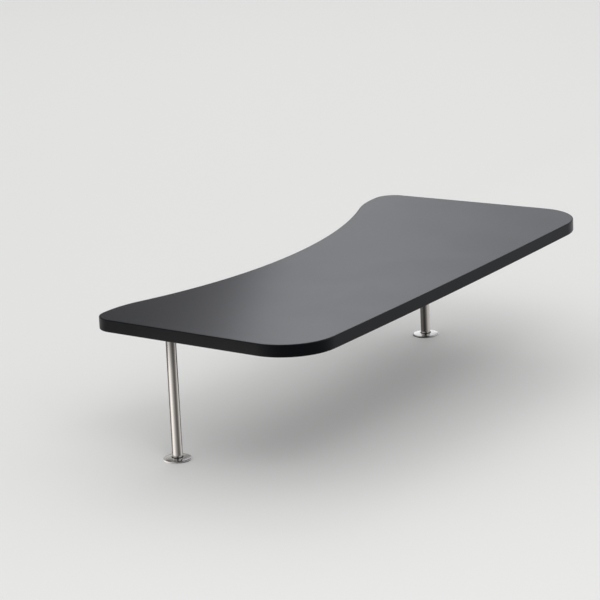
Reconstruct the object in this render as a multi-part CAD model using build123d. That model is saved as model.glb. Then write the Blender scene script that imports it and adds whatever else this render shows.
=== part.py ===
from build123d import *
import math
import os

# A lap tray on two posts that drop into flanged sockets, all sizes in millimetres
# Origin: midway between the two posts, level with the faces that the flanges lie on
# +X runs from the left post to the right one, +Y towards the hollow edge, +Z up

# Tray board outline, seen from above
post_spacing = 650.0
front_overhang = 63.5
back_overhang = 49.0
front_reach = 256.0
back_reach = 93.0
front_bow = 5.5
front_corner_radius = 72.0
back_corner_radius = 29.0
horn_flat = 5.0
horn_shoulder_radius = 160.0
belly_radius = 730.0

# Tray board layers
top_height = 199.0
board_thickness = 17.0
laminate_thickness = 0.5
edge_band_thickness = 2.0
edge_arris_radius = 1.2

# Posts
post_diameter = 14.0
post_wall = 1.5

# Round plates that hold the posts under the board
plate_diameter = 64.0
plate_thickness = 3.0
plate_rim_chamfer = 0.8
boss_wall = 5.0
boss_length = 11.0
boss_weld_radius = 1.5
plate_screw_count = 4

# Countersunk screws that hold the plates
plate_screw_diameter = 4.0
plate_screw_head_diameter = 7.6
plate_screw_head_height = 2.4
plate_screw_length = 15.0
plate_screw_tip = 3.0
plate_screw_slot_width = 1.1
plate_screw_slot_span = 4.4
plate_screw_slot_depth = 1.6

# Grub screws that clamp each post in its boss
grub_diameter = 5.0
grub_key_size = 2.5
grub_key_depth = 2.5
grub_chamfer = 0.5
grub_half_spread = 45

# Flanged sockets that take the posts
socket_wall = 2.0
socket_length = 110.0
flange_margin = 0.75
flange_thickness = 1.5
flange_rim_round = 0.3

# Wood screws through the socket flanges
arm_screw_diameter = 3.2
arm_screw_head_diameter = 5.6
arm_screw_length = 18.0
arm_screw_tip = 3.0
arm_screw_slot_width = 0.8
arm_screw_slot_span = 3.2
arm_screw_slot_depth = 0.9

# Cover rosettes
rosette_sheet = 0.9
rosette_headroom = 0.2
rosette_crown = 1.0
rosette_rim_round = 1.3
rosette_hole_round = 0.3

# Guide bushes
bush_wall = 1.92
bush_neck_wall = 0.95
bush_lip_proud = 0.5
bush_lead_in = 0.4
upper_bush_length = 22.0
lower_bush_length = 18.0
lower_bush_above_buffer = 14.0

# End plugs and buffers
post_plug_inset = 0.3
post_plug_flange_thickness = 3.0
post_plug_length = 12.0
post_plug_slit = 1.6
post_plug_chamfer = 0.8
buffer_thickness = 5.0
buffer_chamfer = 0.8
base_plug_length = 6.0
base_plug_rim_inset = 0.6
base_plug_rim_thickness = 2.0
base_plug_chamfer = 0.6

# Clearances, each on one side
running_clearance = 0.06
push_clearance = 0.02
slip_clearance = 0.05
screw_clearance = 0.1
cut_overrun = 5.0

# Widths that follow
front_width = post_spacing + 2 * front_overhang
back_width = post_spacing + 2 * back_overhang

# Radii that follow, from the post outwards
post_radius = post_diameter / 2
post_bore_radius = post_radius - post_wall
boss_radius = post_radius + boss_wall
plate_radius = plate_diameter / 2
bush_bore_radius = post_radius + running_clearance
bush_neck_radius = bush_bore_radius + bush_neck_wall
bush_radius = bush_bore_radius + bush_wall
socket_bore_radius = bush_radius + push_clearance
socket_radius = socket_bore_radius + socket_wall
flange_overhang = arm_screw_head_diameter + 2 * flange_margin
flange_radius = socket_radius + flange_overhang
rosette_bore_radius = flange_radius + slip_clearance
rosette_radius = rosette_bore_radius + rosette_sheet
plate_screw_offset = (boss_radius + plate_radius) / 2
arm_screw_offset = socket_radius + flange_overhang / 2

# Heights that follow
board_bottom = top_height - board_thickness
plate_bottom = board_bottom - plate_thickness
boss_bottom = plate_bottom - boss_length
rosette_rim_height = flange_thickness + rosette_headroom + rosette_sheet
rosette_centre_height = rosette_rim_height + rosette_crown
base_plug_top = base_plug_length - socket_length
buffer_top = base_plug_top + buffer_thickness
post_bottom = buffer_top + post_plug_flange_thickness

sides = {"left": -1, "right": 1}


def rod(radius, bottom, top):
    return Pos(0, 0, bottom) * Cylinder(radius, top - bottom, align=(Align.CENTER, Align.CENTER, Align.MIN))


def ring(radius, bore_radius, bottom, top):
    return rod(radius, bottom, top) - rod(bore_radius, bottom - cut_overrun, top + cut_overrun)


def turned(points):
    profile = make_face(Polyline(*[(x, 0, z) for x, z in points], close=True))
    return revolve(profile, Axis.Z)


def circles_at(solid, height, radius):
    edges = solid.edges().filter_by(GeomType.CIRCLE)
    near = radius * 1e-3
    return [e for e in edges if abs(e.center().Z - height) < near and abs(e.radius - radius) < near]


def nearest_corner(face, x, y):
    return face.vertices().sort_by_distance((x, y, 0))[0]


# Where the straight top of each horn ends and its shoulder begins
def shoulder_x():
    lean = math.atan2((front_width - back_width) / 2, front_reach + back_reach - front_bow)
    corner_run = back_corner_radius * math.tan((math.pi / 2 - lean) / 2)
    return back_width / 2 - corner_run - horn_flat


# Centre of the hollow arc between the horns
def belly_centre_y():
    reach = belly_radius + horn_shoulder_radius
    return back_reach - horn_shoulder_radius + math.sqrt(reach**2 - shoulder_x() ** 2)


# The point where the shoulder runs into the belly arc
def belly_start():
    share = horn_shoulder_radius / (horn_shoulder_radius + belly_radius)
    shoulder_y = back_reach - horn_shoulder_radius
    return (shoulder_x() * (1 - share), shoulder_y + (belly_centre_y() - shoulder_y) * share)


# Outline of the board, drawn inwards by a margin
def board_outline(margin=0):
    front_x = front_width / 2
    back_x = back_width / 2
    corner_y = front_bow - front_reach
    flat_x = shoulder_x()
    start_x, start_y = belly_start()
    front = ThreePointArc((-front_x, corner_y), (0, -front_reach), (front_x, corner_y))
    right_end = Line((front_x, corner_y), (back_x, back_reach))
    right_horn = Line((back_x, back_reach), (flat_x, back_reach))
    right_shoulder = TangentArc((flat_x, back_reach), (start_x, start_y), tangent=(-1, 0))
    belly = ThreePointArc((start_x, start_y), (0, belly_centre_y() - belly_radius), (-start_x, start_y))
    left_shoulder = TangentArc((-flat_x, back_reach), (-start_x, start_y), tangent=(1, 0))
    left_horn = Line((-flat_x, back_reach), (-back_x, back_reach))
    left_end = Line((-back_x, back_reach), (-front_x, corner_y))
    edges = [front, right_end, right_horn, right_shoulder, belly, left_shoulder, left_horn, left_end]
    face = make_face(edges)
    for side in sides.values():
        face = fillet(nearest_corner(face, side * front_x, corner_y), front_corner_radius)
        face = fillet(nearest_corner(face, side * back_x, back_reach), back_corner_radius)
    if margin > 0:
        face = offset(face, -margin, kind=Kind.INTERSECTION)
    return face


def slab(margin, bottom, top):
    return Pos(0, 0, bottom) * extrude(board_outline(margin), top - bottom)


# Places of the plate screws round a post
def plate_screw_spots():
    half_step = 180 / plate_screw_count
    return PolarLocations(plate_screw_offset, plate_screw_count, start_angle=half_step)


def plate_screw_holes(bottom, top):
    pilot = rod(plate_screw_diameter / 2 + slip_clearance, bottom, top)
    posts = [Pos(side * post_spacing / 2, 0, 0) for side in sides.values()]
    return [place * spot * pilot for place in posts for spot in plate_screw_spots()]


def core_board():
    bottom = board_bottom + laminate_thickness
    screw_top = plate_bottom + plate_screw_length + slip_clearance
    board = slab(edge_band_thickness, bottom, top_height - laminate_thickness)
    return board - plate_screw_holes(bottom - cut_overrun, screw_top)


def top_laminate():
    return slab(edge_band_thickness, top_height - laminate_thickness, top_height)


def under_laminate():
    sheet = slab(edge_band_thickness, board_bottom, board_bottom + laminate_thickness)
    return sheet - plate_screw_holes(board_bottom - cut_overrun, board_bottom + cut_overrun)


def edge_band():
    band = slab(0, board_bottom, top_height) - slab(edge_band_thickness, board_bottom, top_height)
    flat_faces = band.faces().filter_by(Axis.Z).sort_by(Axis.Z)
    arrises = [e for face in (flat_faces[0], flat_faces[-1]) for e in face.outer_wire().edges()]
    return fillet(arrises, edge_arris_radius)


# A countersunk screw, its head's flat face at zero height and its point below
def countersunk_screw(head_radius, shank_radius, head_height, length, tip):
    points = [(0, 0), (head_radius, 0), (shank_radius, -head_height)]
    points += [(shank_radius, tip - length), (0, -length)]
    return turned(points)


def cross_recess(width, span, depth):
    slot = Box(span, width, depth * 2)
    return slot + Rot(0, 0, 90) * slot


def plate_screws():
    radius = plate_screw_diameter / 2
    head = plate_screw_head_diameter / 2
    screw = countersunk_screw(head, radius, plate_screw_head_height, plate_screw_length, plate_screw_tip)
    screw -= cross_recess(plate_screw_slot_width, plate_screw_slot_span, plate_screw_slot_depth)
    screw = Pos(0, 0, plate_bottom) * Rot(180, 0, 0) * screw
    return [spot * screw for spot in plate_screw_spots()]


# The hole that a countersunk head sits in, opening upwards at zero height
def countersink(head_radius, shank_radius, head_height, depth):
    mouth = head_radius + screw_clearance
    hole = shank_radius + screw_clearance
    points = [(0, cut_overrun), (mouth, cut_overrun), (mouth, 0)]
    points += [(hole, -head_height), (hole, -depth), (0, -depth)]
    return turned(points)


# Grub screws point at the post, one each side of its +Y line
def grub_places():
    height = (boss_bottom + plate_bottom) / 2
    angles = [90 - grub_half_spread, 90 + grub_half_spread]
    return [Pos(0, 0, height) * Rot(0, 0, angle) * Rot(0, 90, 0) for angle in angles]


def grub_screws():
    screw = rod(grub_diameter / 2, 0, boss_wall)
    screw = chamfer(circles_at(screw, 0, grub_diameter / 2), grub_chamfer)
    key = extrude(RegularPolygon(grub_key_size / 2, 6, major_radius=False), grub_key_depth + cut_overrun)
    screw -= Pos(0, 0, boss_wall - grub_key_depth) * key
    return [place * Pos(0, 0, post_radius) * screw for place in grub_places()]


def mount_plate():
    plate = rod(plate_radius, plate_bottom, board_bottom)
    plate = chamfer(circles_at(plate, plate_bottom, plate_radius), plate_rim_chamfer)
    plate += rod(boss_radius, boss_bottom, plate_bottom)
    plate = fillet(circles_at(plate, plate_bottom, boss_radius), boss_weld_radius)
    plate = chamfer(circles_at(plate, boss_bottom, boss_radius), plate_rim_chamfer)
    plate -= rod(post_radius + slip_clearance, boss_bottom - cut_overrun, board_bottom + cut_overrun)
    head = plate_screw_head_diameter / 2
    shank = plate_screw_diameter / 2
    sink = countersink(head, shank, plate_screw_head_height, plate_thickness + cut_overrun)
    sink = Pos(0, 0, plate_bottom) * Rot(180, 0, 0) * sink
    plate -= [spot * sink for spot in plate_screw_spots()]
    grub_hole = rod(grub_diameter / 2 + slip_clearance, 0, boss_radius + cut_overrun)
    return plate - [place * grub_hole for place in grub_places()]


def post():
    return ring(post_radius, post_bore_radius, post_bottom, board_bottom)


# A plastic foot pushed into the lower end of the post
def post_end_plug():
    foot_radius = post_radius - post_plug_inset
    plug = rod(foot_radius, buffer_top, post_bottom)
    plug = chamfer(circles_at(plug, buffer_top, foot_radius), post_plug_chamfer)
    spigot_radius = post_bore_radius - push_clearance
    spigot_top = post_bottom + post_plug_length
    plug += rod(spigot_radius, post_bottom, spigot_top)
    plug = chamfer(circles_at(plug, spigot_top, spigot_radius), post_plug_chamfer)
    slit_bottom = post_bottom + post_plug_flange_thickness
    slit_height = spigot_top - slit_bottom + cut_overrun
    slit = Box(post_diameter, post_plug_slit, slit_height, align=(Align.CENTER, Align.CENTER, Align.MIN))
    return plug - Pos(0, 0, slit_bottom) * (slit + Rot(0, 0, 90) * slit)


def arm_screw_spots():
    return [Pos(0, end * arm_screw_offset, flange_thickness) for end in sides.values()]


def socket_tube():
    tube = rod(socket_radius, -socket_length, 0) + rod(flange_radius, 0, flange_thickness)
    tube -= rod(socket_bore_radius, -socket_length - cut_overrun, flange_thickness + cut_overrun)
    tube = fillet(circles_at(tube, flange_thickness, flange_radius), flange_rim_round)
    head = arm_screw_head_diameter / 2
    sink = countersink(head, arm_screw_diameter / 2, flange_thickness, flange_thickness + cut_overrun)
    return tube - [spot * sink for spot in arm_screw_spots()]


def socket_screws():
    head = arm_screw_head_diameter / 2
    shank = arm_screw_diameter / 2
    screw = countersunk_screw(head, shank, flange_thickness, arm_screw_length, arm_screw_tip)
    screw -= cross_recess(arm_screw_slot_width, arm_screw_slot_span, arm_screw_slot_depth)
    return [spot * screw for spot in arm_screw_spots()]


# A thin pressed cover, open underneath, that hides the flange and its screws
def rosette():
    hole_radius = bush_neck_radius + push_clearance
    points = [(rosette_radius, 0), (rosette_radius, rosette_rim_height)]
    points += [(hole_radius, rosette_centre_height), (hole_radius, rosette_centre_height - rosette_sheet)]
    points += [(rosette_bore_radius, rosette_rim_height - rosette_sheet), (rosette_bore_radius, 0)]
    cover = turned(points)
    cover = fillet(circles_at(cover, rosette_rim_height, rosette_radius), rosette_rim_round)
    return fillet(circles_at(cover, rosette_centre_height, hole_radius), rosette_hole_round)


def upper_bush():
    neck_top = rosette_centre_height + bush_lip_proud
    bottom = flange_thickness - upper_bush_length
    bush = rod(bush_radius, bottom, flange_thickness)
    bush += rod(bush_neck_radius, flange_thickness, neck_top)
    bush -= rod(bush_bore_radius, bottom - cut_overrun, neck_top + cut_overrun)
    return chamfer(circles_at(bush, neck_top, bush_bore_radius), bush_lead_in)


def lower_bush():
    bottom = buffer_top + lower_bush_above_buffer
    top = bottom + lower_bush_length
    bush = ring(bush_radius, bush_bore_radius, bottom, top)
    return chamfer(circles_at(bush, top, bush_bore_radius), bush_lead_in)


def socket_buffer():
    radius = socket_bore_radius - slip_clearance
    pad = rod(radius, base_plug_top, buffer_top)
    return chamfer(circles_at(pad, buffer_top, radius), buffer_chamfer)


def socket_base_plug():
    rim_radius = socket_radius - base_plug_rim_inset
    rim_bottom = -socket_length - base_plug_rim_thickness
    plug = rod(rim_radius, rim_bottom, -socket_length)
    plug = chamfer(circles_at(plug, rim_bottom, rim_radius), base_plug_chamfer)
    return plug + rod(socket_bore_radius - push_clearance, -socket_length, base_plug_top)


def write(name, shapes):
    bodies = [solid for shape in shapes for solid in shape.solids()]
    export_step(bodies[0] if len(bodies) == 1 else Compound(bodies), f"parts/{name}.step")
    volume = sum(body.volume for body in bodies)
    print(f"{name}: {len(bodies)} solid(s), {volume:.0f} mm3")


def write_board():
    for maker in (core_board, top_laminate, under_laminate, edge_band):
        write(maker.__name__, [maker()])


def write_posts_and_sockets():
    makers = [mount_plate, plate_screws, grub_screws, post, post_end_plug, rosette, socket_tube]
    makers += [socket_screws, upper_bush, lower_bush, socket_buffer, socket_base_plug]
    for maker in makers:
        made = maker()
        shapes = made if isinstance(made, list) else [made]
        for side_name, side in sides.items():
            place = Pos(side * post_spacing / 2, 0, 0)
            write(f"{side_name}_{maker.__name__}", [place * shape for shape in shapes])


os.makedirs("parts", exist_ok=True)
write_board()
write_posts_and_sockets()
belly_depth = back_reach - belly_centre_y() + belly_radius
print(f"board {front_reach + back_reach:.0f} mm deep, belly {belly_depth:.1f} mm deep")
print(f"boss hangs {board_bottom - boss_bottom:.1f} mm under the board, rosette {2 * rosette_radius:.1f} mm wide")
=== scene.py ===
import bpy
import bmesh
import math
from mathutils import Matrix, Vector


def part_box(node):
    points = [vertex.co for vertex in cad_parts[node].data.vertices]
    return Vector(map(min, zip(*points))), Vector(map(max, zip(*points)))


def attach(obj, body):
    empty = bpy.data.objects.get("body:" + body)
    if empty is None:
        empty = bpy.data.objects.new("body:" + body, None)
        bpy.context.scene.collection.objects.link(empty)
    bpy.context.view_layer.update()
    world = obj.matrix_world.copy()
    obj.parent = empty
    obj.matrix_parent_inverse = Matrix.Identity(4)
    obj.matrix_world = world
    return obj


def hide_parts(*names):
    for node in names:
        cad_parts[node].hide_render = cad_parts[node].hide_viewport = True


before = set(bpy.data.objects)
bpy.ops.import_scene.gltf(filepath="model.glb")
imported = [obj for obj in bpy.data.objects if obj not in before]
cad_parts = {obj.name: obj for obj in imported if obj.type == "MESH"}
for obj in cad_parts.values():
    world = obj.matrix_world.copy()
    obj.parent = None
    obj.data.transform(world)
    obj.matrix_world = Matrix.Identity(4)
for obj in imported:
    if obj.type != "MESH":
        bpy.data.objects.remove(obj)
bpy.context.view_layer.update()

mm = 0.001
near = 0.01 * mm  # closer than this counts as the same place
seamGap = 0.001 * mm
pieceGap = 0.002 * mm
sharpAngle = math.radians(35)
zAxis = (0, 0, 1)
sideNames = ("left", "right")
print("frame loaded,", len(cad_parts), "nodes")


# Mesh tools

def middleOf(node):
    low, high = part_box(node)
    return Vector(((low[0] + high[0]) / 2, (low[1] + high[1]) / 2, 0))


def finishPiece(bm, name, material, body, node, centre=None):
    if centre:
        bmesh.ops.translate(bm, vec=centre, verts=bm.verts)
    bmesh.ops.remove_doubles(bm, verts=bm.verts, dist=pieceGap)
    bmesh.ops.recalc_face_normals(bm, faces=bm.faces)
    mesh = bpy.data.meshes.new(name)
    bm.to_mesh(mesh)
    bm.free()
    mesh.shade_smooth()
    mesh.set_sharp_from_angle(angle=sharpAngle)
    mesh.materials.append(material)
    piece = bpy.data.objects.new(name, mesh)
    bpy.context.scene.collection.objects.link(piece)
    # keeps long flat faces even beside small roundings
    evenNormals = piece.modifiers.new("evenNormals", "WEIGHTED_NORMAL")
    evenNormals.keep_sharp = True
    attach(piece, body)
    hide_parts(node)


# turns a profile of (radius, height) points about a vertical axis
def turnProfile(bm, points, steps, closed=True, centre=(0, 0)):
    verts = [bm.verts.new((centre[0] + radius, centre[1], height)) for radius, height in points]
    pairs = list(zip(verts, verts[1:]))
    if closed:
        pairs.append((verts[-1], verts[0]))
    edges = [bm.edges.new(pair) for pair in pairs]
    bmesh.ops.spin(bm, geom=verts + edges, cent=(*centre, 0), axis=zAxis, angle=math.tau,
                   steps=steps, use_merge=True)
    bmesh.ops.remove_doubles(bm, verts=bm.verts, dist=seamGap)


# rounds the ring edge at a radius and height about the Z axis
def roundRing(bm, radius, height, offset, segments):
    def onRing(vert):
        return abs(vert.co.xy.length - radius) < near and abs(vert.co.z - height) < near

    edges = [edge for edge in bm.edges if onRing(edge.verts[0]) and onRing(edge.verts[1])]
    bmesh.ops.bevel(bm, geom=edges, offset=offset, offset_type="OFFSET", segments=segments,
                    profile=0.5, affect="EDGES", material=-1)


# closes the open loops that lie at one height, holes left open inside their outline
def fillFlat(bm, height):
    edges = [edge for edge in bm.edges if len(edge.link_faces) < 2
             and all(abs(vert.co.z - height) < near for vert in edge.verts)]
    bmesh.ops.triangle_fill(bm, use_beauty=True, edges=edges)


def raiseFace(bm, faces, distance):
    made = bmesh.ops.extrude_face_region(bm, geom=faces)
    verts = [part for part in made["geom"] if isinstance(part, bmesh.types.BMVert)]
    bmesh.ops.translate(bm, vec=(0, 0, distance), verts=verts)
    return verts


# Material tools

def addNode(tree, kind, settings, feeds):
    node = tree.nodes.new("ShaderNode" + kind)
    for key, value in settings.items():
        setattr(node, key, value)
    for key, value in feeds.items():
        if isinstance(value, bpy.types.NodeSocket):
            tree.links.new(value, node.inputs[key])
        else:
            node.inputs[key].default_value = value
    return node


def newGroup(name, inputs, outputs):
    group = bpy.data.node_groups.new(name, "ShaderNodeTree")
    for socketName, kind, value in inputs:
        socket = group.interface.new_socket(name=socketName, in_out="INPUT", socket_type="NodeSocket" + kind)
        socket.default_value = value
    for socketName, kind in outputs:
        group.interface.new_socket(name=socketName, in_out="OUTPUT", socket_type="NodeSocket" + kind)
    return group, group.nodes.new("NodeGroupInput").outputs, group.nodes.new("NodeGroupOutput").inputs


def useGroup(tree, group, feeds):
    return addNode(tree, "Group", {"node_tree": group}, feeds).outputs


# fine relief of a surface, and its pattern as a value
grainGroup = {"scale": 1000, "height": 0.01 * mm, "detail": 3}


def buildSurfaceGrain():
    inputs = [("Vector", "Vector", (0, 0, 0)), ("Scale", "Float", grainGroup["scale"]),
              ("Height", "Float", grainGroup["height"])]
    group, given, made = newGroup("surfaceGrain", inputs, [("Grain", "Float"), ("Normal", "Vector")])
    noise = addNode(group, "TexNoise", {}, {"Vector": given["Vector"], "Scale": given["Scale"],
                                            "Detail": grainGroup["detail"]})
    bump = addNode(group, "Bump", {}, {"Height": noise.outputs["Fac"], "Distance": given["Height"]})
    group.links.new(noise.outputs["Fac"], made["Grain"])
    group.links.new(bump.outputs["Normal"], made["Normal"])
    return group


# broad soft patches where hands and cloths have been
marksGroup = {"scale": 10, "roughness": 0.4, "spread": 0.1, "detail": 2, "distortion": 0.6,
              "dullFrom": 0.35, "dullTo": 0.65}


def buildHandledMarks():
    inputs = [("Vector", "Vector", (0, 0, 0)), ("Scale", "Float", marksGroup["scale"]),
              ("Roughness", "Float", marksGroup["roughness"]), ("Spread", "Float", marksGroup["spread"])]
    group, given, made = newGroup("handledMarks", inputs, [("Roughness", "Float")])
    noise = addNode(group, "TexNoise", {}, {"Vector": given["Vector"], "Scale": given["Scale"],
                                            "Detail": marksGroup["detail"],
                                            "Distortion": marksGroup["distortion"]})
    mask = addNode(group, "MapRange", {"interpolation_type": "SMOOTHSTEP"},
                   {"Value": noise.outputs["Fac"], "From Min": marksGroup["dullFrom"],
                    "From Max": marksGroup["dullTo"]})
    centred = addNode(group, "Math", {"operation": "SUBTRACT"}, {0: mask.outputs["Result"], 1: 0.5})
    rough = addNode(group, "Math", {"operation": "MULTIPLY_ADD"},
                    {0: centred.outputs[0], 1: given["Spread"], 2: given["Roughness"]})
    group.links.new(rough.outputs[0], made["Roughness"])
    return group


surfaceGrain = buildSurfaceGrain()
handledMarks = buildHandledMarks()


def startMaterial(name, metallic=0):
    material = bpy.data.materials.new(name)
    material.use_nodes = True
    tree = material.node_tree
    shader = tree.nodes["Principled BSDF"]
    shader.inputs["Metallic"].default_value = metallic
    coords = addNode(tree, "TexCoord", {}, {}).outputs["Object"]
    return material, tree, shader, coords


# the usual finish: two near tones, patchy gloss and a fine relief, each at its own scale
def grainedMaterial(name, look):
    material, tree, shader, coords = startMaterial(name, look.get("metallic", 0))
    stretch = look.get("stretch", (1, 1, 1))
    if "specular" in look:
        shader.inputs["Specular IOR Level"].default_value = look["specular"]
    mapped = addNode(tree, "Mapping", {"vector_type": "POINT"}, {"Vector": coords, "Scale": stretch})
    grain = useGroup(tree, surfaceGrain, {"Vector": mapped.outputs[0], "Scale": look["grainScale"],
                                          "Height": look["grainHeight"]})
    marks = useGroup(tree, handledMarks, {"Vector": coords, "Scale": look["markScale"],
                                          "Roughness": look["roughness"], "Spread": look["glossSpread"]})
    tone = addNode(tree, "Mix", {"data_type": "RGBA"},
                   {0: grain["Grain"], 6: (*look["dark"], 1), 7: (*look["light"], 1)})
    tree.links.new(tone.outputs[2], shader.inputs["Base Color"])
    tree.links.new(marks["Roughness"], shader.inputs["Roughness"])
    tree.links.new(grain["Normal"], shader.inputs["Normal"])
    return material


looks = {
    "laminateMatte": {"dark": (0.015, 0.018, 0.024), "light": (0.021, 0.025, 0.033), "roughness": 0.24,
                      "glossSpread": 0.02, "grainScale": 1900, "grainHeight": 0.003 * mm, "markScale": 9},
    "edgeBandAbs": {"dark": (0.0025, 0.003, 0.0045), "light": (0.004, 0.005, 0.007), "roughness": 0.30,
                    "glossSpread": 0.04, "grainScale": 1200, "grainHeight": 0.006 * mm, "markScale": 25,
                    "specular": 0.32},
    "steelPolished": {"dark": (0.74, 0.72, 0.69), "light": (0.83, 0.81, 0.78), "roughness": 0.13,
                      "glossSpread": 0.04, "grainScale": 1500, "grainHeight": 0.0008 * mm, "markScale": 60,
                      "stretch": (1, 1, 0.02), "metallic": 1},
    "socketSteel": {"dark": (0.50, 0.49, 0.47), "light": (0.62, 0.61, 0.59), "roughness": 0.30,
                    "glossSpread": 0.10, "grainScale": 900, "grainHeight": 0.004 * mm, "markScale": 40,
                    "stretch": (1, 1, 0.05), "metallic": 1},
    "zincPlated": {"dark": (0.55, 0.56, 0.58), "light": (0.72, 0.73, 0.75), "roughness": 0.28,
                   "glossSpread": 0.12, "grainScale": 1500, "grainHeight": 0.004 * mm, "markScale": 300,
                   "metallic": 1},
    "blackOxide": {"dark": (0.018, 0.018, 0.020), "light": (0.035, 0.034, 0.036), "roughness": 0.38,
                   "glossSpread": 0.10, "grainScale": 2200, "grainHeight": 0.004 * mm, "markScale": 400,
                   "metallic": 0.7},
    "blackPowderCoat": {"dark": (0.010, 0.010, 0.011), "light": (0.020, 0.020, 0.022), "roughness": 0.55,
                        "glossSpread": 0.08, "grainScale": 1400, "grainHeight": 0.03 * mm, "markScale": 60},
    "blackNylon": {"dark": (0.009, 0.009, 0.010), "light": (0.015, 0.015, 0.016), "roughness": 0.42,
                   "glossSpread": 0.08, "grainScale": 2500, "grainHeight": 0.006 * mm, "markScale": 200},
    "bufferRubber": {"dark": (0.012, 0.012, 0.012), "light": (0.024, 0.023, 0.022), "roughness": 0.78,
                     "glossSpread": 0.10, "grainScale": 1600, "grainHeight": 0.02 * mm, "markScale": 150},
}
finishes = {name: grainedMaterial(name, look) for name, look in looks.items()}


# pressed chips, each of its own tone
chipLook = {"dark": (0.24, 0.14, 0.07), "light": (0.56, 0.40, 0.24), "roughness": 0.85, "chipScale": 380,
            "chipHeight": 0.1 * mm}


def chipboardMaterial():
    material, tree, shader, coords = startMaterial("chipboard")
    chips = addNode(tree, "TexVoronoi", {"feature": "F1"}, {"Vector": coords, "Scale": chipLook["chipScale"]})
    tone = addNode(tree, "ValToRGB", {}, {"Fac": chips.outputs["Color"]})
    tone.color_ramp.elements[0].color = (*chipLook["dark"], 1)
    tone.color_ramp.elements[1].color = (*chipLook["light"], 1)
    bump = addNode(tree, "Bump", {}, {"Height": chips.outputs["Distance"],
                                      "Distance": chipLook["chipHeight"]})
    tree.links.new(tone.outputs["Color"], shader.inputs["Base Color"])
    tree.links.new(bump.outputs["Normal"], shader.inputs["Normal"])
    shader.inputs["Roughness"].default_value = chipLook["roughness"]
    return material


# steel polished round its own axis, with faint rings and a highlight that fans out
turnedLook = {"dark": (0.74, 0.73, 0.71), "light": (0.84, 0.83, 0.81), "roughness": 0.17, "glossSpread": 0.05,
              "markScale": 120, "ringScale": 2600, "ringDetail": 2, "ringHeight": 0.0015 * mm,
              "anisotropic": 0.6}


def turnedSteelMaterial(name, centre):
    material, tree, shader, coords = startMaterial(name, 1)
    place = addNode(tree, "Mapping", {"vector_type": "POINT"}, {"Vector": coords, "Location": -centre})
    flat = addNode(tree, "VectorMath", {"operation": "MULTIPLY"}, {0: place.outputs[0], 1: (1, 1, 0)})
    radius = addNode(tree, "VectorMath", {"operation": "LENGTH"}, {0: flat.outputs[0]})
    rings = addNode(tree, "TexNoise", {"noise_dimensions": "1D"},
                    {"W": radius.outputs["Value"], "Scale": turnedLook["ringScale"],
                     "Detail": turnedLook["ringDetail"]})
    bump = addNode(tree, "Bump", {}, {"Height": rings.outputs["Fac"], "Distance": turnedLook["ringHeight"]})
    around = addNode(tree, "VectorMath", {"operation": "CROSS_PRODUCT"}, {0: zAxis, 1: flat.outputs[0]})
    tangent = addNode(tree, "VectorMath", {"operation": "NORMALIZE"}, {0: around.outputs[0]})
    marks = useGroup(tree, handledMarks, {"Vector": coords, "Scale": turnedLook["markScale"],
                                          "Roughness": turnedLook["roughness"],
                                          "Spread": turnedLook["glossSpread"]})
    tone = addNode(tree, "Mix", {"data_type": "RGBA"},
                   {0: rings.outputs["Fac"], 6: (*turnedLook["dark"], 1), 7: (*turnedLook["light"], 1)})
    shader.inputs["Anisotropic"].default_value = turnedLook["anisotropic"]
    tree.links.new(tangent.outputs[0], shader.inputs["Tangent"])
    tree.links.new(tone.outputs[2], shader.inputs["Base Color"])
    tree.links.new(marks["Roughness"], shader.inputs["Roughness"])
    tree.links.new(bump.outputs["Normal"], shader.inputs["Normal"])
    return material


finishes["chipboard"] = chipboardMaterial()
print("materials built,", len(finishes))


# Tray board

board = {
    "frontWidth": 777 * mm,
    "backWidth": 748 * mm,
    "frontBow": 5.5 * mm,
    "frontCorner": 72 * mm,
    "backCorner": 29 * mm,
    "hornFlat": 5 * mm,
    "shoulder": 160 * mm,
    "belly": 730 * mm,
    "laminate": 0.5 * mm,
    "band": 2 * mm,
    "arris": 1.2 * mm,
    "glueLine": 0.12 * mm,
    "screwCircle": 22 * mm,
    "screwHole": 2.05 * mm,
    "screwTurns": (45, 135, 225, 315),  # degrees round each post
    "bowSteps": 20, "frontCornerSteps": 40, "backCornerSteps": 28, "shoulderSteps": 20, "bellySteps": 40,
    "holeSteps": 24,
    "arrisSegments": 6,
}
bandLow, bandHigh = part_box("edge_band")
frontY, backY = bandLow[1], bandHigh[1]
boardBottom, boardTop = bandLow[2], bandHigh[2]


def towards(centre, point):
    return math.atan2(point.y - centre.y, point.x - centre.x)


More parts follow.
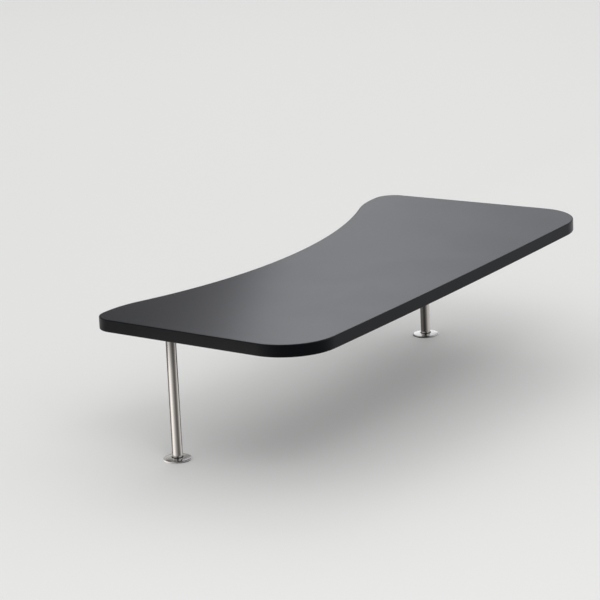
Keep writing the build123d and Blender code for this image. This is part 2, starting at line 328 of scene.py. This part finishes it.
# the arcs of the right half of the outline, front to back: centre, radius, two angles, steps;
# a negative radius is hollow, seen from the board
def outlineArcs():
    cornerY = frontY + board["frontBow"]
    frontEnd = Vector((board["frontWidth"] / 2, cornerY))
    backEnd = Vector((board["backWidth"] / 2, backY))
    run = (backEnd - frontEnd).normalized()
    outward = Vector((run.y, -run.x))
    bowRadius = (frontEnd.x ** 2 + board["frontBow"] ** 2) / (2 * board["frontBow"])
    bowCentre = Vector((0, frontY + bowRadius))
    # front corner: tangent to the bowed front and to the straight end
    inset = frontEnd - outward * board["frontCorner"]
    offset = inset - bowCentre
    along = offset.dot(run)
    reach = bowRadius - board["frontCorner"]
    frontCentre = inset + run * (-along - math.sqrt(along ** 2 - offset.length_squared + reach ** 2))
    # back corner: tangent to the straight end and to the flat of the horn
    backCentreY = backY - board["backCorner"]
    rise = (backCentreY - frontEnd.y) * outward.y
    backCentre = Vector((frontEnd.x - (board["backCorner"] + rise) / outward.x, backCentreY))
    shoulderCentre = Vector((backCentre.x - board["hornFlat"], backY - board["shoulder"]))
    span = board["shoulder"] + board["belly"]
    bellyCentre = Vector((0, shoulderCentre.y + math.sqrt(span ** 2 - shoulderCentre.x ** 2)))
    quarter = math.pi / 2
    sideways = math.atan2(outward.y, outward.x)
    return [
        (bowCentre, bowRadius, -quarter, towards(bowCentre, frontCentre), board["bowSteps"]),
        (frontCentre, board["frontCorner"], towards(bowCentre, frontCentre), sideways,
         board["frontCornerSteps"]),
        (backCentre, board["backCorner"], sideways, quarter, board["backCornerSteps"]),
        (shoulderCentre, board["shoulder"], quarter, towards(shoulderCentre, bellyCentre),
         board["shoulderSteps"]),
        (bellyCentre, -board["belly"], towards(bellyCentre, shoulderCentre), -quarter, board["bellySteps"]),
    ]


# one arc as a chain of edges, joined to the end of the arc before it
def drawArc(bm, last, centre, radius, start, end, steps):
    x = centre.x + radius * math.cos(start)
    y = centre.y + radius * math.sin(start)
    first = bm.verts.new((x, y, boardBottom))
    if last:
        bm.edges.new((last, first))
    made = bmesh.ops.spin(bm, geom=[first], cent=(*centre, boardBottom), axis=zAxis, angle=end - start,
                          steps=steps)
    return [part for part in made["geom_last"] if isinstance(part, bmesh.types.BMVert)][0]


# the whole outline, drawn inwards by a margin, as edges at the board's underside
def drawOutline(bm, margin):
    last = None
    for centre, radius, start, end, steps in outlineArcs():
        last = drawArc(bm, last, centre, abs(radius) - math.copysign(margin, radius), start, end, steps)
    bmesh.ops.mirror(bm, geom=bm.verts[:] + bm.edges[:], axis="X", merge_dist=near)
    bmesh.ops.remove_doubles(bm, verts=bm.verts, dist=near)


def boardSlab(margin):
    bm = bmesh.new()
    drawOutline(bm, margin)
    bmesh.ops.contextual_create(bm, geom=bm.edges[:])
    return bm


def makeTopLaminate():
    bm = boardSlab(board["band"])
    bmesh.ops.translate(bm, vec=(0, 0, boardTop - boardBottom - board["laminate"]), verts=bm.verts)
    raiseFace(bm, bm.faces[:], board["laminate"])
    finishPiece(bm, "topLaminateSheet", finishes["laminateMatte"], "tray", "top_laminate")


def makeUnderLaminate():
    bm = bmesh.new()
    drawOutline(bm, board["band"])
    for side in sideNames:
        centre = middleOf(f"{side}_post")
        for turn in board["screwTurns"]:
            angle = math.radians(turn)
            spot = centre + board["screwCircle"] * Vector((math.cos(angle), math.sin(angle), 0))
            place = Matrix.Translation((spot.x, spot.y, boardBottom))
            bmesh.ops.create_circle(bm, radius=board["screwHole"], segments=board["holeSteps"], matrix=place)
    fillFlat(bm, boardBottom)
    raiseFace(bm, bm.faces[:], board["laminate"])
    finishPiece(bm, "underLaminateSheet", finishes["laminateMatte"], "tray", "under_laminate")


# the two level faces that cover the whole board, which have more corners than the others
def flatCaps(bm):
    return [face for face in bm.faces if abs(face.normal.z) > 0.99 and len(face.verts) > 4]


def makeEdgeBand():
    bm = boardSlab(0)
    raiseFace(bm, bm.faces[:], boardTop - boardBottom)
    bmesh.ops.recalc_face_normals(bm, faces=bm.faces)
    rims = [edge for face in flatCaps(bm) for edge in face.edges]
    bmesh.ops.bevel(bm, geom=rims, offset=board["arris"], offset_type="OFFSET",
                    segments=board["arrisSegments"], profile=0.5, affect="EDGES", material=-1)
    bm.normal_update()
    bmesh.ops.inset_region(bm, faces=flatCaps(bm), thickness=board["band"] - board["arris"],
                           use_even_offset=True)
    bm.normal_update()
    bmesh.ops.delete(bm, geom=flatCaps(bm), context="FACES_ONLY")
    made = bmesh.ops.bridge_loops(bm, edges=[edge for edge in bm.edges if edge.is_boundary])
    inner = [edge for face in made["faces"] for edge in face.edges
             if abs(edge.verts[0].co.z - edge.verts[1].co.z) < near]
    bmesh.ops.bevel(bm, geom=list(set(inner)), offset=board["glueLine"], offset_type="OFFSET", segments=1,
                    profile=0.5, affect="EDGES", material=-1)
    finishPiece(bm, "edgeBandStrip", finishes["edgeBandAbs"], "tray", "edge_band")


makeTopLaminate()
makeUnderLaminate()
makeEdgeBand()
print("board built")


# Posts

post = {"radius": 7 * mm, "bore": 5.5 * mm, "endRound": 0.35 * mm, "endSegments": 3, "steps": 96}


def makePost(side):
    node = f"{side}_post"
    low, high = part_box(node)
    bm = bmesh.new()
    ends = (low[2], high[2])
    turnProfile(bm, [(post["radius"], ends[0]), (post["radius"], ends[1]),
                     (post["bore"], ends[1]), (post["bore"], ends[0])], post["steps"])
    for height in ends:
        for radius in (post["radius"], post["bore"]):
            roundRing(bm, radius, height, post["endRound"], post["endSegments"])
    finishPiece(bm, f"{side}PostTube", finishes["steelPolished"], "tray", node,
                centre=middleOf(node))


# Cover rosettes

rosette = {"sheet": 0.9 * mm, "crown": 1.0 * mm, "crownRings": 8, "hole": 8.03 * mm, "rimRound": 1.3 * mm,
           "rimSegments": 8, "innerRound": 0.4 * mm, "holeRound": 0.3 * mm, "smallSegments": 3, "steps": 128}


# the upper face from its rim inwards: steepest at the rim, level at the hole
def crownProfile(radius, rim):
    points = []
    for ring in range(rosette["crownRings"] + 1):
        share = ring / rosette["crownRings"]
        height = rim + rosette["crown"] * (1 - (1 - share) ** 2)
        points.append((radius + (rosette["hole"] - radius) * share, height))
    return points


def makeRosette(side):
    node = f"{side}_rosette"
    low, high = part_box(node)
    radius = (high[0] - low[0]) / 2
    inside = radius - rosette["sheet"]
    rim = high[2] - rosette["crown"]
    bm = bmesh.new()
    turnProfile(bm, [(radius, low[2]), *crownProfile(radius, rim),
                     (rosette["hole"], high[2] - rosette["sheet"]), (inside, rim - rosette["sheet"]),
                     (inside, low[2])], rosette["steps"])
    roundRing(bm, radius, rim, rosette["rimRound"], rosette["rimSegments"])
    roundRing(bm, inside, rim - rosette["sheet"], rosette["innerRound"], rosette["smallSegments"])
    roundRing(bm, rosette["hole"], high[2], rosette["holeRound"], rosette["smallSegments"])
    material = turnedSteelMaterial(f"{side}TurnedSteel", middleOf(node))
    finishPiece(bm, f"{side}RosetteCover", material, "arm_sockets", node,
                centre=middleOf(node))


# Upper bushes, whose lips stand round the posts

bush = {"bore": 7.06 * mm, "neck": 8.01 * mm, "shoulder": 1.5 * mm, "lipRound": 0.3 * mm, "lipSegments": 3,
        "leadIn": 0.4 * mm, "leadInSegments": 4, "footSegments": 2, "steps": 96}


def makeUpperBush(side):
    node = f"{side}_upper_bush"
    low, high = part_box(node)
    radius = (high[0] - low[0]) / 2
    bm = bmesh.new()
    turnProfile(bm, [(radius, low[2]), (radius, bush["shoulder"]), (bush["neck"], bush["shoulder"]),
                     (bush["neck"], high[2]), (bush["bore"], high[2]), (bush["bore"], low[2])], bush["steps"])
    roundRing(bm, bush["neck"], high[2], bush["lipRound"], bush["lipSegments"])
    roundRing(bm, bush["bore"], high[2], bush["leadIn"], bush["leadInSegments"])
    roundRing(bm, radius, low[2], bush["lipRound"], bush["footSegments"])
    finishPiece(bm, f"{side}UpperBushSleeve", finishes["blackNylon"], "arm_sockets", node,
                centre=middleOf(node))


# Flanged socket tubes and their base plugs

socket = {"radius": 11 * mm, "bore": 9 * mm, "rimRound": 0.3 * mm, "rimSegments": 3, "footSegments": 2,
          "screwOffset": 14.55 * mm, "mouth": 2.9 * mm, "hole": 1.7 * mm, "holeSteps": 32, "steps": 96}


def makeSocketTube(side):
    node = f"{side}_socket_tube"
    low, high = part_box(node)
    flange = (high[0] - low[0]) / 2
    bm = bmesh.new()
    turnProfile(bm, [(socket["radius"], low[2]), (socket["radius"], 0)], socket["steps"], closed=False)
    turnProfile(bm, [(flange, 0), (flange, high[2])], socket["steps"], closed=False)
    turnProfile(bm, [(socket["bore"], high[2]), (socket["bore"], low[2])], socket["steps"], closed=False)
    for end in (-1, 1):
        turnProfile(bm, [(socket["mouth"], high[2]), (socket["hole"], 0)], socket["holeSteps"],
                    closed=False, centre=(0, end * socket["screwOffset"]))
    for height in (low[2], 0, high[2]):
        fillFlat(bm, height)
    bmesh.ops.recalc_face_normals(bm, faces=bm.faces)
    roundRing(bm, flange, high[2], socket["rimRound"], socket["rimSegments"])
    roundRing(bm, socket["radius"], low[2], socket["rimRound"], socket["footSegments"])
    finishPiece(bm, f"{side}SocketSleeve", finishes["socketSteel"], "arm_sockets", node,
                centre=middleOf(node))


basePlug = {"spigot": 8.98 * mm, "rim": 2 * mm, "edge": 0.6 * mm, "rimSegments": 3, "spigotSegments": 2,
            "dish": 6 * mm, "dishDepth": 0.5 * mm, "steps": 64}


def makeBasePlug(side):
    node = f"{side}_socket_base_plug"
    low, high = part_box(node)
    radius = (high[0] - low[0]) / 2
    rimTop = low[2] + basePlug["rim"]
    dishTop = low[2] + basePlug["dishDepth"]
    bm = bmesh.new()
    turnProfile(bm, [(0, dishTop), (basePlug["dish"], dishTop),
                     (basePlug["dish"] + basePlug["dishDepth"], low[2]), (radius, low[2]), (radius, rimTop),
                     (basePlug["spigot"], rimTop), (basePlug["spigot"], high[2]), (0, high[2])],
                basePlug["steps"], closed=False)
    roundRing(bm, radius, low[2], basePlug["edge"], basePlug["rimSegments"])
    roundRing(bm, basePlug["spigot"], high[2], basePlug["edge"], basePlug["spigotSegments"])
    finishPiece(bm, f"{side}BasePlugCap", finishes["blackNylon"], "arm_sockets", node,
                centre=middleOf(node))


# Countersunk screws with a cross recess and a rolled thread

plateScrew = {"head": 3.8 * mm, "rim": 0.3 * mm, "headHeight": 2.4 * mm, "length": 15 * mm, "tip": 3 * mm,
              "radius": 2 * mm, "core": 1.4 * mm, "pitch": 1.6 * mm, "plain": 4.5 * mm,
              "slot": 1.1 * mm, "span": 4.4 * mm, "depth": 1.6 * mm}
armScrew = {"head": 2.8 * mm, "rim": 0.2 * mm, "headHeight": 1.5 * mm, "length": 18 * mm, "tip": 3 * mm,
            "radius": 1.6 * mm, "core": 1.1 * mm, "pitch": 1.4 * mm, "plain": 4 * mm,
            "slot": 0.8 * mm, "span": 3.2 * mm, "depth": 0.9 * mm}
screwShape = {"steps": 40, "threadSteps": 20, "ridgeFoot": 0.42, "ridgeRoot": 0.96, "crossTaper": 0.55}


# a tapered cross sunk below zero height, left open at its mouth
def sinkCross(bm, slot, span, depth):
    made = bmesh.ops.create_grid(bm, x_segments=1, y_segments=1, size=slot / 2)
    square = made["verts"][0].link_faces[0]
    for edge in square.edges[:]:
        outwards = (edge.verts[0].co + edge.verts[1].co).normalized() * (span - slot) / 2
        arm = bmesh.ops.extrude_edge_only(bm, edges=[edge])
        ends = [part for part in arm["geom"] if isinstance(part, bmesh.types.BMVert)]
        bmesh.ops.translate(bm, vec=outwards, verts=ends)
    mouth = [face for face in bm.faces if all(abs(vert.co.z) < near for vert in face.verts)]
    floor = raiseFace(bm, mouth, -depth)
    bmesh.ops.scale(bm, vec=(screwShape["crossTaper"], screwShape["crossTaper"], 1), verts=floor)
    bmesh.ops.delete(bm, geom=mouth, context="FACES_ONLY")
    loose = [edge for edge in bm.edges if not edge.link_faces]
    bmesh.ops.delete(bm, geom=loose, context="EDGES")


# one ridge wound down the shank, its foot a little inside the core
def windThread(bm, screw):
    steps = screwShape["threadSteps"]
    top = -screw["plain"]
    turns = (screw["length"] - screw["tip"] - screw["plain"]) / screw["pitch"]
    foot = screw["pitch"] * screwShape["ridgeFoot"]
    root = screw["core"] * screwShape["ridgeRoot"]
    points = [(root, top + foot), (screw["radius"], top), (root, top - foot)]
    start = bm.faces.new([bm.verts.new((radius, 0, height)) for radius, height in points])
    bmesh.ops.spin(bm, geom=[start], cent=(0, 0, 0), axis=zAxis, angle=-math.tau * turns,
                   dvec=(0, 0, -screw["pitch"] / steps), steps=round(turns * steps))


def countersunkScrew(screw):
    head, radius, core = screw["head"], screw["radius"], screw["core"]
    coreTop = -screw["plain"] - screw["pitch"] / 4
    coreEnd = screw["tip"] - screw["length"]
    bm = bmesh.new()
    sinkCross(bm, screw["slot"], screw["span"], screw["depth"])
    turnProfile(bm, [(head, 0), (head, -screw["rim"]), (radius, -screw["headHeight"]),
                     (radius, -screw["plain"]), (core, coreTop), (core, coreEnd), (0, -screw["length"])],
                screwShape["steps"], closed=False)
    fillFlat(bm, 0)
    windThread(bm, screw)
    return bm


# copies of one small shape set at several places, joined in one piece
def gatherCopies(shape, places):
    template = bpy.data.meshes.new("template")
    shape.to_mesh(template)
    shape.free()
    bm = bmesh.new()
    for place in places:
        known = set(bm.verts)
        bm.from_mesh(template)
        bmesh.ops.transform(bm, matrix=place, verts=[vert for vert in bm.verts if vert not in known])
    bpy.data.meshes.remove(template)
    return bm


def makePlateScrews(side):
    node = f"{side}_plate_screws"
    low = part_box(node)[0]
    flip = Matrix.Rotation(math.pi, 4, "X")
    out = Matrix.Translation((board["screwCircle"], 0, 0))
    places = []
    for turn in board["screwTurns"]:
        spot = Matrix.Rotation(math.radians(turn), 4, "Z") @ out
        places.append(Matrix.Translation((0, 0, low[2])) @ spot @ flip)
    bm = gatherCopies(countersunkScrew(plateScrew), places)
    finishPiece(bm, f"{side}PlateScrewSet", finishes["zincPlated"], "tray", node,
                centre=middleOf(node))


def makeSocketScrews(side):
    node = f"{side}_socket_screws"
    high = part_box(node)[1]
    places = [Matrix.Translation((0, end * socket["screwOffset"], high[2])) for end in (-1, 1)]
    bm = gatherCopies(countersunkScrew(armScrew), places)
    finishPiece(bm, f"{side}SocketScrewSet", finishes["zincPlated"], "arm_sockets", node,
                centre=middleOf(node))


# Grub screws with a hexagon socket, pointing at the post

grub = {"radius": 2.5 * mm, "length": 5 * mm, "edge": 0.5 * mm, "key": 1.25 * mm, "keyDepth": 2.5 * mm,
        "turns": (45, 135), "steps": 40}


def grubScrew():
    bm = bmesh.new()
    corner = grub["key"] / math.cos(math.pi / 6)
    made = bmesh.ops.create_circle(bm, cap_ends=True, radius=corner, segments=6)
    mouth = made["verts"][0].link_faces[:]
    raiseFace(bm, mouth, -grub["keyDepth"])
    bmesh.ops.delete(bm, geom=mouth, context="FACES_ONLY")
    radius = grub["radius"]
    body = radius - grub["edge"]
    turnProfile(bm, [(body, 0), (radius, -grub["edge"]), (radius, grub["edge"] - grub["length"]),
                     (body, -grub["length"])], grub["steps"], closed=False)
    fillFlat(bm, 0)
    fillFlat(bm, -grub["length"])
    return bm


def makeGrubScrews(side):
    node = f"{side}_grub_screws"
    low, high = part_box(node)
    height = (low[2] + high[2]) / 2
    out = Matrix.Translation((0, 0, post["radius"] + grub["length"]))
    lean = Matrix.Rotation(math.pi / 2, 4, "Y")
    places = [Matrix.Translation((0, 0, height)) @ Matrix.Rotation(math.radians(turn), 4, "Z") @ lean @ out
              for turn in grub["turns"]]
    bm = gatherCopies(grubScrew(), places)
    finishPiece(bm, f"{side}GrubScrewPair", finishes["blackOxide"], "tray", node,
                centre=middleOf(f"{side}_post"))


for side in sideNames:
    makePost(side)
    makeRosette(side)
    makeUpperBush(side)
    makeSocketTube(side)
    makeBasePlug(side)
    makePlateScrews(side)
    makeSocketScrews(side)
    makeGrubScrews(side)
print("posts, sockets and screws built")


# Carried-over nodes, whose shapes are right

def dressNode(node, material):
    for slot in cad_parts[node].material_slots:
        slot.material = material


dressNode("core_board", finishes["chipboard"])
for side in sideNames:
    dressNode(f"{side}_mount_plate", finishes["blackPowderCoat"])
    dressNode(f"{side}_post_end_plug", finishes["blackNylon"])
    dressNode(f"{side}_lower_bush", finishes["blackNylon"])
    dressNode(f"{side}_socket_buffer", finishes["bufferRubber"])
print("carried-over nodes dressed")


# Studio: a pale floor level with the cover rosettes, open round each socket, which glows with painted
# reflections for glossy rays

studio = {
    "floorHalf": 14.0,
    "floorColour": (0.90, 0.90, 0.89),
    "floorRoughness": 0.9,
    "floorSpecular": 0.1,
    "socketHole": 11.4 * mm,
    "holeSteps": 64,
    "backdrop": (0.62, 0.62, 0.61),
    "ambient": 0.70,
    "warmTint": (1.0, 0.963, 0.935),
    "coolTint": (0.97, 0.98, 1.0),
}

# painted reflections: a glowing tone that glossy surfaces see for each direction, from -180 to 180 degrees
# round an upright axis;
# those of a post are painted on the floor round it
paintedReflectionTones = {
    "left_post": [(-180, 0.74), (-167, 0.48), (-144, 0.26), (-123, 0.13), (-99, 0.12), (-73, 0.36),
                  (-45, 0.75), (-28, 0.45), (-16, 0.07), (60, 0.07), (95, 0.20), (112, 0.55), (135, 1.25),
                  (150, 1.22), (169, 0.96), (180, 0.74)],
    "right_post": [(-180, 0.03), (-144, 0.05), (-114, 0.20), (-83, 0.48), (-46, 0.56), (20, 0.56), (40, 0.12),
                   (125, 0.12), (159, 0.09), (180, 0.03)],
    "floor": [(-180, 0.16), (-165, 0.03), (-100, 0.03), (-75, 0.40), (-30, 0.39), (0, 0.70), (90, 0.70),
              (125, 0.24), (145, 0.14), (180, 0.16)],
    "paintedSky": [(-180, 0.34), (-172, 0.30), (-158, 0.06), (-126, 0.06), (-108, 0.42), (-35, 0.46), (35, 0.36),
            (70, 0.80), (95, 0.90), (125, 0.44), (180, 0.34)],
}
# painted reflection round each post
paintedReflectionReach = {"left_post": (0.40, 0.75), "right_post": (0.30, 0.45)}  # full up to here, gone from there


def paintedToneRamp(tree, vector, stops, tint):
    turn = addNode(tree, "TexGradient", {"gradient_type": "RADIAL"}, {"Vector": vector})
    ramp = addNode(tree, "ValToRGB", {}, {"Fac": turn.outputs["Fac"]})
    elements = ramp.color_ramp.elements
    for index, (angle, tone) in enumerate(stops):
        position = angle / 360 + 0.5
        stop = elements[index] if index < 2 else elements.new(position)
        stop.position = position
        stop.color = (*[tone * part for part in tint], 1)
    return ramp.outputs["Color"]


# paints the reflection tones round one post on the floor over the tones further out
def paintToneRoundPost(tree, coords, node, further):
    place = addNode(tree, "Mapping", {"vector_type": "POINT"},
                    {"Vector": coords, "Location": -middleOf(node)})
    tone = paintedToneRamp(tree, place.outputs[0], paintedReflectionTones[node], studio["warmTint"])
    distance = addNode(tree, "VectorMath", {"operation": "LENGTH"}, {0: place.outputs[0]})
    full, none = paintedReflectionReach[node]
    mask = addNode(tree, "MapRange", {"interpolation_type": "SMOOTHSTEP"},
                   {"Value": distance.outputs["Value"], "From Min": full, "From Max": none,
                    "To Min": 1, "To Max": 0})
    mixed = addNode(tree, "Mix", {"data_type": "RGBA"}, {0: mask.outputs["Result"], 6: further, 7: tone})
    return mixed.outputs[2]


def floorMaterial():
    material, tree, shader, coords = startMaterial("paleFloorWithPaintedReflections")
    shader.inputs["Base Color"].default_value = (*studio["floorColour"], 1)
    shader.inputs["Roughness"].default_value = studio["floorRoughness"]
    shader.inputs["Specular IOR Level"].default_value = studio["floorSpecular"]
    # painted reflection: for glossy rays the floor glows with these tones instead of its own shading
    tone = paintedToneRamp(tree, coords, paintedReflectionTones["floor"], studio["coolTint"])
    for side in sideNames:
        tone = paintToneRoundPost(tree, coords, f"{side}_post", tone)
    paintedMirrorGlow = addNode(tree, "Emission", {}, {"Color": tone})
    rays = addNode(tree, "LightPath", {}, {})
    seen = addNode(tree, "MixShader", {}, {0: rays.outputs["Is Glossy Ray"], 1: shader.outputs[0],
                                          2: paintedMirrorGlow.outputs[0]})
    clear = addNode(tree, "BsdfTransparent", {}, {})
    facing = addNode(tree, "NewGeometry", {}, {})
    both = addNode(tree, "MixShader", {}, {0: facing.outputs["Backfacing"], 1: seen.outputs[0],
                                          2: clear.outputs[0]})
    tree.links.new(both.outputs[0], tree.nodes["Material Output"].inputs["Surface"])
    return material


def addStagePiece(bm, name, material):
    mesh = bpy.data.meshes.new(name)
    bm.to_mesh(mesh)
    bm.free()
    mesh.materials.append(material)
    piece = bpy.data.objects.new(name, mesh)
    bpy.context.scene.collection.objects.link(piece)
    return piece


def makeFloor():
    bm = bmesh.new()
    half = studio["floorHalf"]
    bmesh.ops.create_grid(bm, x_segments=1, y_segments=1, size=half)
    bmesh.ops.delete(bm, geom=bm.faces[:], context="FACES_ONLY")
    for side in sideNames:
        place = Matrix.Translation(middleOf(f"{side}_post"))
        bmesh.ops.create_circle(bm, radius=studio["socketHole"], segments=studio["holeSteps"], matrix=place)
    fillFlat(bm, 0)
    for face in bm.faces:
        if face.normal.z < 0:
            face.normal_flip()
    addStagePiece(bm, "studioFloor", floorMaterial())


# a painted reflection: an upright card behind the tray, dim on its left, glowing for glossy surfaces only;
# its tones run across on a slant, with others at its foot, and are scaled by a tone for each height
card = {
    "left": -1.6, "right": 2.0, "y": 0.41, "top": 0.85,
    "lean": 0.66,
    "span": 2.0,
    "across": [(0.30, (0.15, 0.14, 0.14)), (0.46, (0.24, 0.23, 0.23)), (0.60, (0.375, 0.365, 0.375)),
               (0.66, (0.42, 0.41, 0.42)), (0.745, (0.77, 0.78, 0.80)), (0.82, (1.00, 1.01, 1.04)),
               (1.10, (0.97, 0.98, 1.01)), (1.75, (0.64, 0.65, 0.67))],
    "foot": [(0.30, (0.48, 0.47, 0.46)), (0.37, (0.44, 0.43, 0.42)), (0.44, (0.20, 0.19, 0.19)),
             (0.62, (0.20, 0.19, 0.19)), (0.745, (0.74, 0.75, 0.77)), (0.82, (0.93, 0.94, 0.97))],
    "footTop": (0.26, 0.31),
    "upwards": [(0.03, 0.30), (0.13, 1.35), (0.37, 0.72), (0.55, 1.08)],
}


def cardRamp(tree, value, stops):
    share = addNode(tree, "Math", {"operation": "DIVIDE"}, {0: value, 1: card["span"]})
    ramp = addNode(tree, "ValToRGB", {}, {"Fac": share.outputs[0]})
    elements = ramp.color_ramp.elements
    for index, (place, colour) in enumerate(stops):
        position = place / card["span"]
        stop = elements[index] if index < 2 else elements.new(position)
        stop.position = position
        stop.color = (*colour, 1)
    return ramp.outputs["Color"]


def makePaintedReflectionCard():
    material = bpy.data.materials.new("paintedReflectionCard")
    material.use_nodes = True
    tree = material.node_tree
    coords = addNode(tree, "TexCoord", {}, {}).outputs["Object"]
    across = addNode(tree, "VectorMath", {"operation": "DOT_PRODUCT"}, {0: coords, 1: (1, 0, card["lean"])})
    upwards = addNode(tree, "VectorMath", {"operation": "DOT_PRODUCT"}, {0: coords, 1: zAxis})
    foot = cardRamp(tree, across.outputs["Value"], card["foot"])
    above = cardRamp(tree, across.outputs["Value"], card["across"])
    footFull, footNone = card["footTop"]
    rise = addNode(tree, "MapRange", {}, {"Value": upwards.outputs["Value"], "From Min": footFull,
                                          "From Max": footNone})
    wide = addNode(tree, "Mix", {"data_type": "RGBA"}, {0: rise.outputs["Result"], 6: foot, 7: above})
    tall = cardRamp(tree, upwards.outputs["Value"], [(place, (tone,) * 3) for place, tone in card["upwards"]])
    tone = addNode(tree, "Mix", {"data_type": "RGBA", "blend_type": "MULTIPLY"},
                   {0: 1, 6: wide.outputs[2], 7: tall})
    # painted reflection: the card glows with these tones
    paintedCardGlow = addNode(tree, "Emission", {}, {"Color": tone.outputs[2]})
    tree.links.new(paintedCardGlow.outputs[0], tree.nodes["Material Output"].inputs["Surface"])
    bm = bmesh.new()
    left, right, top = card["left"], card["right"], card["top"]
    corners = [(left, 0), (right, 0), (right, top), (left, top)]
    bm.faces.new([bm.verts.new((x, card["y"], z)) for x, z in corners])
    piece = addStagePiece(bm, "paintedReflectionCard", material)
    piece.visible_camera = False
    piece.visible_diffuse = False
    piece.visible_shadow = False
    piece.visible_transmission = False


def makeWorld():
    world = bpy.data.worlds.new("studioWorld")
    bpy.context.scene.world = world
    world.use_nodes = True
    tree = world.node_tree
    tree.nodes.clear()
    rays = addNode(tree, "LightPath", {}, {})
    direction = addNode(tree, "TexCoord", {}, {}).outputs["Generated"]
    # painted reflection: glossy rays see the painted sky tones, other rays an even fill, the camera an even
    # backdrop
    paintedSky = paintedToneRamp(tree, direction, paintedReflectionTones["paintedSky"], studio["coolTint"])
    fill = addNode(tree, "Background", {}, {"Color": (1, 1, 1, 1), "Strength": studio["ambient"]})
    paintedMirrorGlow = addNode(tree, "Background", {}, {"Color": paintedSky, "Strength": 1})
    backdrop = addNode(tree, "Background", {}, {"Color": (*studio["backdrop"], 1), "Strength": 1})
    lit = addNode(tree, "MixShader", {}, {0: rays.outputs["Is Glossy Ray"], 1: fill.outputs[0],
                                         2: paintedMirrorGlow.outputs[0]})
    seen = addNode(tree, "MixShader", {}, {0: rays.outputs["Is Camera Ray"], 1: lit.outputs[0],
                                          2: backdrop.outputs[0]})
    output = tree.nodes.new("ShaderNodeOutputWorld")
    tree.links.new(seen.outputs[0], output.inputs["Surface"])


# soft lamps that show in no reflection
lamps = {
    "keyLamp": {"at": (-2.2, -2.4, 3.0), "size": 2.4, "power": 38},
    "backLamp": {"at": (2.6, 1.6, 3.2), "size": 2.4, "power": 16},
}


def makeLamps():
    for name, lamp in lamps.items():
        data = bpy.data.lights.new(name, "AREA")
        data.size = lamp["size"]
        data.energy = lamp["power"]
        light = bpy.data.objects.new(name, data)
        light.location = lamp["at"]
        light.rotation_euler = (-Vector(lamp["at"])).to_track_quat("-Z", "Y").to_euler()
        light.visible_glossy = False
        bpy.context.scene.collection.objects.link(light)


photoView = {"at": (-3.4328, -2.2776, 1.2736), "turn": (74.5699, 2.6145, -57.0618), "lens": 181.764,
             "sensor": 36}


def makeCamera():
    data = bpy.data.cameras.new("viewCamera")
    data.lens = photoView["lens"]
    data.sensor_width = photoView["sensor"]
    camera = bpy.data.objects.new("viewCamera", data)
    camera.location = photoView["at"]
    camera.rotation_euler = [math.radians(angle) for angle in photoView["turn"]]
    bpy.context.scene.collection.objects.link(camera)
    bpy.context.scene.camera = camera


makeFloor()
makePaintedReflectionCard()
makeWorld()
makeLamps()
makeCamera()
bpy.context.scene.view_settings.view_transform = "Standard"
print("studio built")
